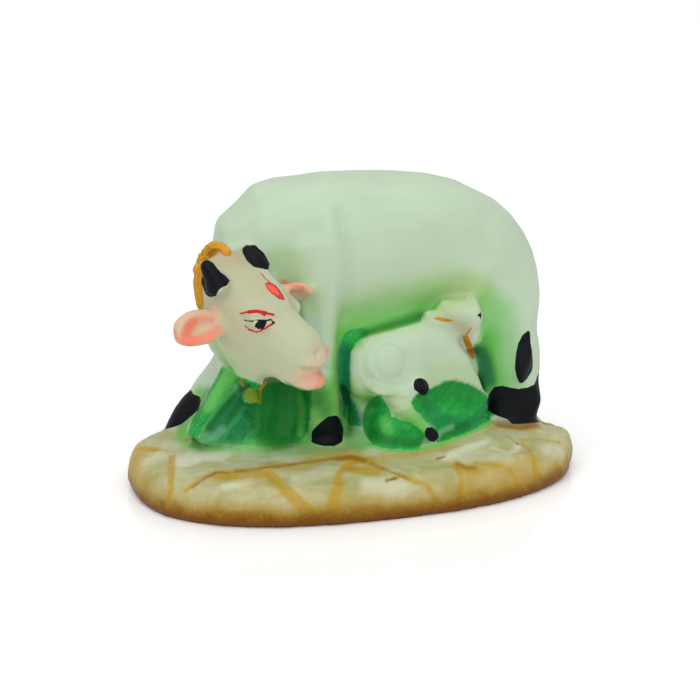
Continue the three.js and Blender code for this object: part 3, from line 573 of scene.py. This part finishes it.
        (1.2, 2.5, 0.6, [(12, 19, 8), (22, 18, 7)]),
    ],
    "umber": [
        (0.15, 0.3, 0.9, [(131, 455), (136, 451)]),
        (0.15, 0.5, 0.55, [(193, 487), (206, 478), (217, 472.5), (228, 473)]),
        (0.15, 0.6, 0.45, [(236, 471), (262, 468), (300, 463.5), (334, 458)]),
        (0.3, 0.9, 0.6, [(338, 459), (352, 457), (362, 460)]),
        (0.2, 0.8, 0.5, [(458, 464), (466, 468), (474, 468)]),
        (0.12, 0.3, 0.8, [(386, 481), (396, 478)]),
        (0.12, 0.3, 0.9, [(437, 458), (444, 457)]),
        (0.15, 0.5, 0.4, [(372, 464), (394, 473.5), (408, 478.5)]),
        (0.5, 1.2, 0.7, [(500, 424), (520, 426), (534, 424)]),
        (0.12, 0.3, 0.6, [(516, 443), (522, 446)]),
        (0.3, 0.6, 0.35, [(162, 503), (163, 507)]),
        (0.4, 0.8, 0.35, [(175, 504), (180, 510)]),
    ],
    "speck": [(0.14, 0.15, 0.8, [(301, 413.5), (301, 414.3)])],
}


def dense(line, step):
    """The same line with more points."""
    line = np.array(line, float)
    out = [line[:1]]
    for start, end in zip(line, line[1:]):
        count = max(1, int(np.linalg.norm(end - start) / step))
        out.append(start + (end - start) * np.arange(1, count + 1)[:, None] / count)
    return np.concatenate(out)


def smooth(share):
    share = np.clip(share, 0, 1)
    return share * share * (3 - 2 * share)


def boxed(points, line, margin):
    """Which points lie in the box round a line, widened by a margin."""
    return np.all((points > line.min(0) - margin) & (points < line.max(0) + margin), axis=1)


def bell_curve(gap, width):
    """1 on a line, falling to nothing at three half widths from it."""
    return np.exp(-((gap / width) ** 2)) * (gap < width * 3)


class Surface:
    """The figure's skin as arrays, in millimetres, with the marks measured on it."""

    def __init__(self, mesh):
        self.mesh = mesh
        count = len(mesh.vertices)
        points = np.zeros(count * 3)
        mesh.vertices.foreach_get("co", points)
        self.points = points.reshape(-1, 3) / MM
        edges = np.zeros(len(mesh.edges) * 2, np.int64)
        mesh.edges.foreach_get("vertices", edges)
        self.edges = edges.reshape(-1, 2)
        self.links = np.bincount(self.edges.ravel(), minlength=count).astype(float)
        self.refresh()

    def refresh(self):
        """Writes the points back to the mesh and reads its normals."""
        self.mesh.vertices.foreach_set("co", (self.points * MM).astype(np.float32).ravel())
        self.mesh.update()
        normals = np.zeros(len(self.points) * 3)
        self.mesh.vertex_normals.foreach_get("vector", normals)
        self.normals = normals.reshape(-1, 3)
        self.tree = None
        self.flat = on_sheet(self.points)

    def neighbours_mean(self, values):
        """Each point's mean over the points it is joined to."""
        a, b = self.edges.T
        count = len(self.points)
        total = [
            np.bincount(a, values[b, i], count) + np.bincount(b, values[a, i], count)
            for i in range(values.shape[1])
        ]
        return np.stack(total, 1) / self.links[:, None]

    def even(self, rounds, where=1.0):
        """Takes facets off without shrinking the form: each round in is followed by one out."""
        for share in (EASE, -1.04 * EASE) * rounds:
            pull = self.neighbours_mean(self.points) - self.points
            self.points += pull * (share * np.broadcast_to(where, len(pull)))[:, None]
        self.refresh()

    def fill(self, rounds, share):
        """Fills creases and leaves edges, as thick resin does; `share` is one number a point."""
        for i in range(rounds):
            pull = self.neighbours_mean(self.points) - self.points
            hollow = np.einsum("ij,ij->i", pull, self.normals) > 0
            self.points += pull * (EASE * share * np.where(hollow, 1.0, 0.1))[:, None]
            if i % 4 == 3:
                self.refresh()
        self.refresh()

    def push(self, lift):
        """Moves every point along its normal, by so many millimetres."""
        self.points += self.normals * lift[:, None]
        self.refresh()

    def lay(self, line):
        """A line laid on the skin, from points of the sheet or points near the skin."""
        if self.tree is None:
            polygons = [p.vertices[:] for p in self.mesh.polygons]
            self.tree = BVHTree.FromPolygons([Vector(p) for p in self.points], polygons)
        if len(line[0]) == 3:
            return np.array([self.tree.find_nearest(Vector(p))[0] for p in dense(line, 1.0)])
        eye = Vector(SHEET_EYE)
        hits = [self.tree.ray_cast(eye, sight_line(x, y))[0] for x, y in dense(line, 4.0)]
        found = [hit for hit in hits if hit is not None]
        if not found:
            raise ValueError(f"no point of the line from {line[0]} meets the figure")
        return np.array(found)

    def distance(self, line, limit):
        """Distance of every point from a line on the skin, and `limit` where it is further."""
        line = self.lay(line)
        out = np.full(len(self.points), float(limit))
        near = boxed(self.points, line, limit)
        points = self.points[near]
        best = np.minimum(np.linalg.norm(points - line[0], axis=1), limit)
        for start, end in zip(line, line[1:]):
            way = end - start
            if np.linalg.norm(way) > LEAP:
                continue
            along = np.clip((points - start) @ way / max(way @ way, 1e-9), 0, 1)
            best = np.minimum(best, np.linalg.norm(points - start - along[:, None] * way, axis=1))
        out[near] = best
        return out

    def inside(self, reach, sink, outline):
        """How far inside an outline of the sheet every point is, in millimetres."""
        corners = np.array(outline, float)
        near = boxed(self.flat, corners, BORDER)
        x, y = self.flat[near].T
        gap = np.full(len(x), 1e9)
        within = np.zeros(len(x), bool)
        for (x0, y0), (x1, y1) in zip(corners, np.roll(corners, -1, 0)):
            along = ((x - x0) * (x1 - x0) + (y - y0) * (y1 - y0)) / ((x1 - x0) ** 2 + (y1 - y0) ** 2)
            along = np.clip(along, 0, 1)
            gap = np.minimum(gap, np.hypot(x - x0 - along * (x1 - x0), y - y0 - along * (y1 - y0)))
            if y0 != y1:
                within ^= ((y0 > y) != (y1 > y)) & (x < x0 + (y - y0) * (x1 - x0) / (y1 - y0))
        depth = np.where(within, gap, -gap) / POINTS_PER_MM
        middle = self.lay([tuple(corners.mean(0))])[0] - SHEET_BACK * sink
        ball = reach - np.linalg.norm(self.points[near] - middle, axis=1)
        out = np.full(len(self.points), OUTSIDE)
        out[near] = np.clip(np.minimum(depth, ball), OUTSIDE, -OUTSIDE)
        return out

    def areas(self, table):
        """How far inside the nearest of several outlines every point is."""
        return np.max([self.inside(*area) for area in table], axis=0)

    def lines(self, table, limit=3.0):
        """How far inside the nearest of several drawn lines every point is."""
        return np.max([width - self.distance(line, limit) for width, line in table], axis=0)

    def washes(self, table):
        """How much soft paint lies on every point."""
        left = np.ones(len(self.points))
        for width, fade, strength, line in table:
            gap = self.distance(line, width + fade)
            left *= 1 - strength * smooth(1 - (gap - width) / fade)
        return 1 - left

    def keep(self, name, values):
        """Stores one number a point as a mesh attribute."""
        layer = self.mesh.attributes.get(name) or self.mesh.attributes.new(name, "FLOAT", "POINT")
        layer.data.foreach_set("value", values.astype(np.float32))


class Socket:
    """A shader output that Python's own operators turn into Math nodes."""

    def __init__(self, maker, output):
        self.maker, self.output = maker, output

    def math(self, operation, *others, flip=False, clamp=False):
        values = [self, *others]
        if flip:
            values.reverse()
        return self.maker.node(
            "ShaderNodeMath", {"operation": operation, "use_clamp": clamp}, dict(enumerate(values))
        )

    def __add__(self, other):
        return self.math("ADD", other)

    __radd__ = __add__

    def __sub__(self, other):
        return self.math("SUBTRACT", other)

    def __rsub__(self, other):
        return self.math("SUBTRACT", other, flip=True)

    def __mul__(self, other):
        return self.math("MULTIPLY", other)

    __rmul__ = __mul__

    def __truediv__(self, other):
        return self.math("DIVIDE", other)

    def clamp(self):
        return self.math("ADD", 0.0, clamp=True)

    def step(self, start, end):
        """0 up to start, 1 from end on, and smooth between."""
        return self.maker.node(
            "ShaderNodeMapRange",
            {"interpolation_type": "SMOOTHSTEP"},
            {"Value": self, "From Min": start, "From Max": end},
        )


class Material:
    """Builds one material out of nodes."""

    def __init__(self, name):
        self.material = bpy.data.materials.new(name)
        self.material.use_nodes = True
        self.tree = self.material.node_tree
        self.shader = self.tree.nodes["Principled BSDF"]
        self.place = self.node("ShaderNodeTexCoord", {}, {}, "Object")

    def node(self, kind, settings, inputs, output=0):
        made = self.tree.nodes.new(kind)
        for name, value in settings.items():
            setattr(made, name, value)
        for name, value in inputs.items():
            self.feed(made.inputs[name], value)
        return Socket(self, made.outputs[output])

    def feed(self, socket, value):
        if isinstance(value, Socket):
            self.tree.links.new(value.output, socket)
        elif socket.type == "RGBA":
            socket.default_value = (*value, 1.0)
        else:
            socket.default_value = value

    def set(self, **values):
        for socket in self.shader.inputs:
            name = socket.name.replace(" ", "_")
            if name in values:
                self.feed(socket, values[name])

    def noise(self, size, detail=3.0, roughness=0.5, stretch=(1, 1, 1), distortion=0.0, turn=(0, 0, 0)):
        """Soft noise about 0.5, with lumps of that size in millimetres, stretched and turned."""
        place = self.node(
            "ShaderNodeMapping",
            {"vector_type": "TEXTURE"},
            {"Vector": self.place, "Scale": stretch, "Rotation": turn},
        )
        return self.node(
            "ShaderNodeTexNoise",
            {},
            {
                "Vector": place,
                "Scale": 1.0 / (size * MM),
                "Detail": detail,
                "Roughness": roughness,
                "Distortion": distortion,
            },
        )

    def layer(self, name):
        """One stored number of the piece."""
        return self.node("ShaderNodeAttribute", {"attribute_name": name}, {}, "Fac")

    def blend(self, factor, under, over):
        """A colour over another."""
        return self.node("ShaderNodeMix", {"data_type": "RGBA"}, {0: factor, 6: under, 7: over}, 2)

    def height(self):
        """Height above the underside, in millimetres."""
        return self.node("ShaderNodeSeparateXYZ", {}, {0: self.place}, 2) / MM


def colour(name, text, value):
    return bpy.props.FloatVectorProperty(
        name=name, description=text, subtype="COLOR", size=3, min=0, max=1, default=value
    )


def length(name, text, value):
    return bpy.props.FloatProperty(
        name=name, description=text, subtype="DISTANCE", unit="LENGTH", min=0, default=value * MM
    )


def rounds(name, text, value):
    return bpy.props.IntProperty(name=name, description=text, min=0, default=value)


def strength(name, text, value):
    return bpy.props.FloatProperty(name=name, description=text, min=0, default=value)


class CastingSettings(bpy.types.PropertyGroup):
    grain: length("Grain", "Spacing of the points of the cast skin", 0.52)
    facets: rounds("Facets", "Rounds that take the facets off and keep the form", 24)
    fillet: rounds("Fillet", "Rounds of filling along the creases", 28)
    ripple: length("Ripple", "Height of the base's uneven rock", 0.16)


class PaintSettings(bpy.types.PropertyGroup):
    resin: colour("Resin", "Pale translucent green of the body", (0.41, 0.51, 0.375))
    # Sage is a yellower green on the body, and painted shade in the grooves of the calf's carved rings
    sage: colour("Sage", "Yellower green where the resin is thick", (0.33, 0.47, 0.20))
    cream: colour("Cream", "Warmer tint of the cow's head", (0.42, 0.44, 0.29))
    tan: colour("Tan", "Warm shade on the head", (0.40, 0.32, 0.19))
    # Blush is also painted light on the chin and lower jaw, where it lies in shade
    blush: colour("Blush", "Pale pink of ears and muzzle", (0.62, 0.36, 0.25))
    # Pearl is also painted highlight along the raised edges of the base's rock slabs
    pearl: colour("Pearl", "Palest stone of the base", (0.52, 0.53, 0.39))
    ivory: colour("Ivory", "Pale stone of the base", (0.41, 0.39, 0.205))
    # Olive is also painted shade at the feet of the hooves and the painted rock
    olive: colour("Olive", "Stains in the base's stone", (0.33, 0.31, 0.12))
    ink: colour("Ink", "Black of hooves, horns and tail tufts", (0.002, 0.003, 0.005))
    crimson: colour("Crimson", "Lines round the eye", (0.50, 0.006, 0.012))
    speck: colour("Speck", "Stray drop on the painted rock", (0.50, 0.006, 0.012))
    rose: colour("Rose", "Outline of the forehead mark", (0.50, 0.04, 0.06))
    vermilion: colour("Vermilion", "Middle of the forehead mark", (0.85, 0.10, 0.05))
    coral: colour("Coral", "Inside of the ears and the lips", (0.72, 0.19, 0.115))
    gold: colour("Gold", "Neck ropes", (0.60, 0.32, 0.015))
    # Painted shade of the neck ropes, laid in the cleft between the strands and along their edges
    rope_shade_colour: colour("Rope shade", "Shade of the neck ropes", (0.36, 0.12, 0.006))
    brass: colour("Brass", "Yellow-green of the bell", (0.16, 0.25, 0.012))
    leaf: colour("Leaf", "Green of the painted ground", (0.008, 0.3, 0.042))
    lime: colour("Lime", "Lighter strokes of green", (0.12, 0.46, 0.09))
    teal: colour("Teal", "Bluer strokes of green", (0.004, 0.13, 0.065))
    # Frost is partly painted highlights on the green strands
    frost: colour("Frost", "Milky strokes over the green", (0.26, 0.52, 0.33))
    # Moss is also painted shade in the hollows and under the belly
    moss: colour("Moss", "Deep green in the recesses", (0.001, 0.12, 0.010))
    mist: colour("Mist", "Airbrushed green on the body", (0.11, 0.42, 0.07))
    ochre: colour("Ochre", "Paint settled in the base's seams", (0.40, 0.25, 0.018))
    amber: colour("Amber", "Golden fade above the base's brown foot", (0.35, 0.215, 0.012))
    umber: colour("Umber", "Brown sponged round the foot of the base", (0.155, 0.052, 0.0005))


class StageSettings(bpy.types.PropertyGroup):
    floor: length("Floor", "Half length of the floor", 3000)
    key: strength("Key", "Strength of the soft key light", 1.3)
    front: strength("Front", "Strength of the low light from the front", 0.75)
    world: strength("Surround", "Strength of the pale surround", 0.78)


@contextmanager
def editing(mesh):
    """A bmesh of the mesh, written back when the block ends."""
    shape = bmesh.new()
    shape.from_mesh(mesh)
    yield shape
    shape.to_mesh(mesh)
    shape.free()


def fresh_object(name, mesh):
    made = bpy.data.objects.new(name, mesh)
    bpy.context.scene.collection.objects.link(made)
    return made


class FIGURE_OT_casting(bpy.types.Operator):
    """Cast the figure's skin from its solid, soften it and carve its relief"""

    bl_idname = "figure.casting"
    bl_label = "Cast the figure"

    def execute(self, context):
        settings = context.scene.figure_casting
        piece = fresh_object(PIECE, self.solid())
        self.cover(piece, settings.grain)
        skin = Surface(piece.data)
        skin.even(settings.facets)
        crisp = smooth(skin.areas(CRISP_AREAS) / 1.5 + 1)
        skin.fill(settings.fillet, 1 - 0.85 * crisp)
        skin.fill(WEB_ROUNDS, skin.washes(FILLED))
        for table in FINE_AREAS:
            wanted = skin.areas(table) > 0
            self.finer(piece.data, wanted)
            skin = Surface(piece.data)
            skin.even(2, smooth(skin.areas(table) / 0.5))
        self.draw_out(skin)
        self.carve(skin, settings.ripple / MM)
        skin.points[skin.points[:, 2] < FOOT, 2] = 0
        skin.refresh()
        self.underside(piece.data)
        piece.data.shade_smooth()
        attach(piece, "root")
        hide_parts(NODE)
        return {"FINISHED"}

    def solid(self):
        """A merged copy of the node's own mesh."""
        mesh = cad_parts[NODE].data.copy()
        mesh.materials.clear()
        with editing(mesh) as shape:
            bmesh.ops.remove_doubles(shape, verts=shape.verts, dist=1e-7)
        return mesh

    def cover(self, piece, grain):
        """Covers the solid with one even skin of small squares."""
        remesh = piece.modifiers.new("skin", "REMESH")
        remesh.mode = "VOXEL"
        remesh.voxel_size = grain
        graph = bpy.context.evaluated_depsgraph_get()
        mesh = bpy.data.meshes.new_from_object(piece.evaluated_get(graph))
        piece.modifiers.clear()
        old, piece.data = piece.data, mesh
        bpy.data.meshes.remove(old)

    def finer(self, mesh, wanted):
        """Halves the spacing of the points where that is wanted."""
        with editing(mesh) as shape:
            edges = [e for e in shape.edges if wanted[e.verts[0].index] and wanted[e.verts[1].index]]
            bmesh.ops.subdivide_edges(shape, edges=edges, cuts=1, use_grid_fill=True)

    def underside(self, mesh):
        """Makes the flat underside one face."""
        with editing(mesh) as shape:
            under = [f for f in shape.faces if max(v.co.z for v in f.verts) < 1e-6]
            bmesh.ops.dissolve_faces(shape, faces=under)

    def draw_out(self, skin):
        """Moves the skin round single places, like a thumb in wax."""
        for place, reach, (right, up, out) in PULLS:
            gap = skin.distance([place], reach * 3)
            move = SHEET_RIGHT * right + SHEET_UP * up + SHEET_BACK * out
            skin.points += np.outer(bell_curve(gap, reach), move)
        skin.refresh()

    def carve(self, skin, ripple):
        x, y, z = skin.points.T
        waves = (
            np.sin(x * 0.42 + y * 0.31 + 1.0) * np.sin(y * 0.55 - x * 0.2 + 0.4)
            + 0.7 * np.sin(x * 0.83 - z * 0.7 + 2.1) * np.sin(y * 0.9 + z * 0.5)
            + 0.5 * np.sin(x * 1.7 + y * 0.9) * np.sin(y * 1.9 - x * 0.6 + z)
        )
        base = smooth((BASE_TOP - z) / 1.5) * smooth(z / 1.5)
        lift = ripple * waves * base
        for width, height, line in CARVED:
            lift += height * bell_curve(skin.distance(line, width * 3), width)
        for width, depth, line in SEAMS:
            lift -= depth * bell_curve(skin.distance(line, width * 3), width)
        for line in ROPE:
            gap = skin.distance(line, 2.0)
            lift += ROPE_HEIGHT * np.sqrt(np.clip(1 - (gap / ROPE_WIDTH) ** 2, 0, 1))
            lift -= 0.4 * ROPE_HEIGHT * bell_curve(gap, ROPE_CLEFT)
        skin.push(lift)


class FIGURE_OT_paint(bpy.types.Operator):
    """Lay the paint marks on the figure and give it its resin and paint"""

    bl_idname = "figure.paint"
    bl_label = "Paint the figure"

    def execute(self, context):
        piece = bpy.data.objects[PIECE]
        self.mark(Surface(piece.data))
        piece.data.materials.append(self.finish(context.scene.figure_paint))
        return {"FINISHED"}

    def mark(self, skin):
        """Stores where each paint lies."""
        ink = np.maximum(skin.areas(INK_AREAS), skin.lines(INK_LINES))
        skin.keep("ink", np.minimum(ink, skin.points[:, 2] - INK_FLOOR))
        near = NEAR_SIDE - skin.points[:, 1]
        skin.keep("green", np.minimum(skin.areas(GREEN_AREAS), near))
        skin.keep("rose", np.maximum(skin.areas(ROSE_AREAS), skin.lines(ROSE_LINES)))
        skin.keep("crimson", skin.lines(CRIMSON_LINES))
        skin.keep("vermilion", skin.areas(VERMILION_AREAS))
        skin.keep("brass", skin.areas(BRASS_AREAS))
        rope = np.min([skin.distance(line, 3.0) for line in ROPE], axis=0)
        gold = np.maximum(skin.lines(GOLD_LINES), skin.areas(GOLD_AREAS))
        skin.keep("gold", np.maximum(gold, ROPE_GOLD - rope))
        # The strand layer is painted shade: darker in the cleft between the two strands and towards the
        # rope's edges
        skin.keep("strand", np.maximum(bell_curve(rope, 0.14) * 0.6, smooth(rope / 0.3 - 1.2) * 0.5))
        seams = [(width, line) for width, _, line in SEAMS]
        skin.keep("seam", skin.lines(seams, 2.5))
        kept = 1 - smooth(np.minimum(skin.areas([CALF, MUZZLE]), near) / 0.3)
        for name, table in SOFT.items():
            skin.keep(name, skin.washes(table) * (kept if name in GROUND_PAINTS else 1))

    def finish(self, paint):
        """The resin, and over it every paint from the softest to the sharpest."""
        m = Material("painted_resin")
        height = m.height()
        fine = m.noise(0.35, 3, 0.6)
        ragged = m.noise(0.8, 3, 0.6)
        patch = m.noise(2.4, 4, 0.6, distortion=0.6)
        cloud = m.noise(9, 2, 0.5)

        def wash(under, name, grain=0.5):
            """Soft paint, thinner and thicker in patches."""
            thickness = m.layer(name) * (1 - grain / 2 + grain * patch)
            return m.blend(thickness.clamp(), under, getattr(paint, name))

        def sharp(under, name, over, grain, noise=ragged, edge=0.05):
            """Paint with an edge, a little uneven."""
            cover = (m.layer(name) + (noise - 0.5) * grain).step(-edge, edge)
            return m.blend(cover, under, over)

        pale = tuple(c * 1.06 for c in paint.resin)
        skin = m.blend(cloud.step(0.35, 0.7), paint.resin, pale)
        for name, grain in (("sage", 0.5), ("cream", 0.25), ("tan", 0.5), ("blush", 0.3)):
            skin = wash(skin, name, grain)

        # the base: stained stone, paint in its seams, and brown sponged round its foot
        marble = m.noise(7, 3, 0.5, (1, 1, 0.8), 0.8)
        vein = m.noise(2.6, 3, 0.5, (2, 1, 0.6), 1.4)
        speckle = m.noise(0.5, 2, 0.6)
        stone = m.blend(marble.step(0.34, 0.64), paint.olive, paint.ivory)
        stone = m.blend(vein.step(0.5, 0.75) * 0.35, stone, paint.pearl)
        top = (height + (patch - 0.5) * 3).step(6.6, 9.2)
        stone = m.blend(top * 0.6, stone, paint.resin)
        # The olive wash is partly painted shade at the feet of the hooves and the rock, and the pearl wash
        # partly painted highlights on the raised rock edges
        for name, grain in (("olive", 0.5), ("pearl", 0.4), ("ochre", 0.9)):
            stone = wash(stone, name, grain)
        seam = (m.layer("seam") + (patch - 0.5) * 0.9).step(-0.45, 0.3)
        stone = m.blend(seam * (0.55 + 0.5 * patch), stone, paint.ochre)
        rise = height + (marble - 0.5) * 2.4
        stone = m.blend(1 - rise.step(1.4, 6.4), stone, paint.amber)
        stone = m.blend(1 - (rise + (speckle - 0.5) * 1.6).step(0.8, 4.2), stone, paint.umber)
        base = 1 - (height + (patch - 0.5) * 1.2).step(8.2, 9.8)
        skin = m.blend(base, skin, stone)

        # the greens: airbrushed round the rock, then brushed over it in streaks and strands
        skin = wash(skin, "mist", 0.2)
        streak = m.noise(0.7, 4, 0.65, (1, 1, 5), 0.3, (0, 0.85, 0))
        leaf = m.blend(streak.step(0.5, 0.75) * 0.4, paint.leaf, paint.lime)
        leaf = m.blend((1 - streak.step(0.25, 0.5)) * 0.6, leaf, paint.moss)
        skin = sharp(skin, "green", leaf, 0.7, edge=0.2)
        folds = m.layer("folds")
        strand = m.noise(0.45, 3, 0.6, (1, 1, 7), 0.2, (0, 0.85, 0))
        # Painted highlights on the folds of the rock: frost on the lighter streaks, teal on the darker ones
        skin = m.blend(folds * strand.step(0.56, 0.72) * 0.7, skin, paint.frost)
        skin = m.blend(folds * (1 - strand.step(0.3, 0.46)) * 0.8, skin, paint.teal)
        # Of these washes, moss is painted shade in the hollows and under the belly, and frost partly painted
        # highlights
        for name in ("lime", "teal", "moss", "frost"):
            skin = wash(skin, name, 0.6)
        skin = wash(skin, "umber", 0.8)

        # the small marks, and the black over everything
        skin = wash(skin, "coral", 0.3)
        skin = sharp(skin, "brass", paint.brass, 0.24)
        # Painted shade on the ropes, in the cleft and along the edges, mottled in patches
        rope_shade_and_mottle = (m.layer("strand") + (patch - 0.35) * 0.8).clamp()
        skin = sharp(skin, "gold", m.blend(rope_shade_and_mottle, paint.gold, paint.rope_shade_colour), 0.12)
        for name, grain, edge in (("rose", 0.1, 0.05), ("crimson", 0.14, 0.05), ("vermilion", 0.1, 0.1)):
            skin = sharp(skin, name, getattr(paint, name), grain, fine, edge)
        skin = wash(skin, "speck")
        ink = (m.layer("ink") + (fine - 0.5) * 0.22).step(-0.05, 0.05)
        skin = m.blend(ink, skin, paint.ink)

        m.set(Base_Color=skin, IOR=1.45, Specular_IOR_Level=0.14)
        m.set(Roughness=0.42 + 0.12 * patch, Coat_Weight=(1 - ink) * 0.1, Coat_Roughness=0.2)
        m.set(Subsurface_Weight=0.3, Subsurface_Radius=(1.0, 1.0, 0.7), Subsurface_Scale=2.2 * MM)
        relief = m.noise(0.8, 4, 0.6) * 0.4 + patch * 0.6
        bump = {"Strength": 0.3, "Distance": 0.15 * MM, "Height": relief}
        m.set(Normal=m.node("ShaderNodeBump", {}, bump))
        return m.material


class FIGURE_OT_stage(bpy.types.Operator):
    """Set the pale floor, the soft lights and the camera"""

    bl_idname = "figure.stage"
    bl_label = "Set the stage"

    def execute(self, context):
        settings = context.scene.figure_stage
        self.floor(settings.floor)
        self.lights(settings)
        self.camera(context.scene)
        context.scene.view_settings.view_transform = "Standard"
        return {"FINISHED"}

    def floor(self, half):
        mesh = bpy.data.meshes.new("floor")
        with editing(mesh) as shape:
            bmesh.ops.create_grid(shape, x_segments=1, y_segments=1, size=half)
        piece = fresh_object("floor", mesh)
        m = Material("pale_floor")
        m.set(Base_Color=(0.97, 0.97, 0.965), Roughness=0.12 + 0.02 * m.noise(300))
        m.set(Specular_IOR_Level=0.32)
        mesh.materials.append(m.material)

    def lights(self, settings):
        world = bpy.data.worlds.new("surround")
        bpy.context.scene.world = world
        world.use_nodes = True
        background = world.node_tree.nodes["Background"]
        background.inputs["Color"].default_value = (1, 1, 1, 1)
        background.inputs["Strength"].default_value = settings.world
        places = [
            # name, strength, spread in degrees, where it comes from
            ("key", settings.key, 60, (-0.4, -0.5, 1.2)),
            ("front", settings.front, 50, (0.1, -1.0, 0.25)),
        ]
        for name, strength, spread, place in places:
            data = bpy.data.lights.new(name, "SUN")
            data.energy = strength
            data.angle = math.radians(spread)
            lamp = fresh_object(name, data)
            lamp.location = place
            lamp.rotation_euler = (-lamp.location).to_track_quat("-Z", "Y").to_euler()

    def camera(self, scene):
        data = bpy.data.cameras.new("camera")
        data.sensor_width = 36.0
        data.lens = 36.0 * POINTS_PER_MM * SHEET_DISTANCE / SHEET
        data.clip_start, data.clip_end = 0.01, 20
        camera = fresh_object("camera", data)
        camera.location = Vector(SHEET_EYE * MM)
        camera.rotation_mode = "QUATERNION"
        camera.rotation_quaternion = Vector(-SHEET_BACK).to_track_quat("-Z", "Y")
        scene.camera = camera


class FIGURE_PT_panel(bpy.types.Panel):
    """Sizes, colours and steps of the figure"""

    bl_idname = "FIGURE_PT_panel"
    bl_label = "Painted figure"
    bl_space_type = "VIEW_3D"
    bl_region_type = "UI"
    bl_category = "Figure"

    def draw(self, context):
        scene = context.scene
        for settings, step in (
            (scene.figure_casting, FIGURE_OT_casting),
            (scene.figure_paint, FIGURE_OT_paint),
            (scene.figure_stage, FIGURE_OT_stage),
        ):
            box = self.layout.box()
            for name in settings.bl_rna.properties.keys():
                if name not in ("rna_type", "name"):
                    box.prop(settings, name)
            box.operator(step.bl_idname)


SETTINGS = {
    "figure_casting": CastingSettings,
    "figure_paint": PaintSettings,
    "figure_stage": StageSettings,
}
STEPS = (FIGURE_OT_casting, FIGURE_OT_paint, FIGURE_OT_stage)


def register():
    for kind in (*SETTINGS.values(), *STEPS, FIGURE_PT_panel):
        bpy.utils.register_class(kind)
    for name, kind in SETTINGS.items():
        setattr(bpy.types.Scene, name, bpy.props.PointerProperty(type=kind))


def unregister():
    for name in SETTINGS:
        delattr(bpy.types.Scene, name)
    for kind in (FIGURE_PT_panel, *reversed(STEPS), *reversed(SETTINGS.values())):
        bpy.utils.unregister_class(kind)


def main():
    register()
    bpy.ops.figure.casting()
    bpy.ops.figure.paint()
    bpy.ops.figure.stage()


if __name__ == "__main__":
    main()
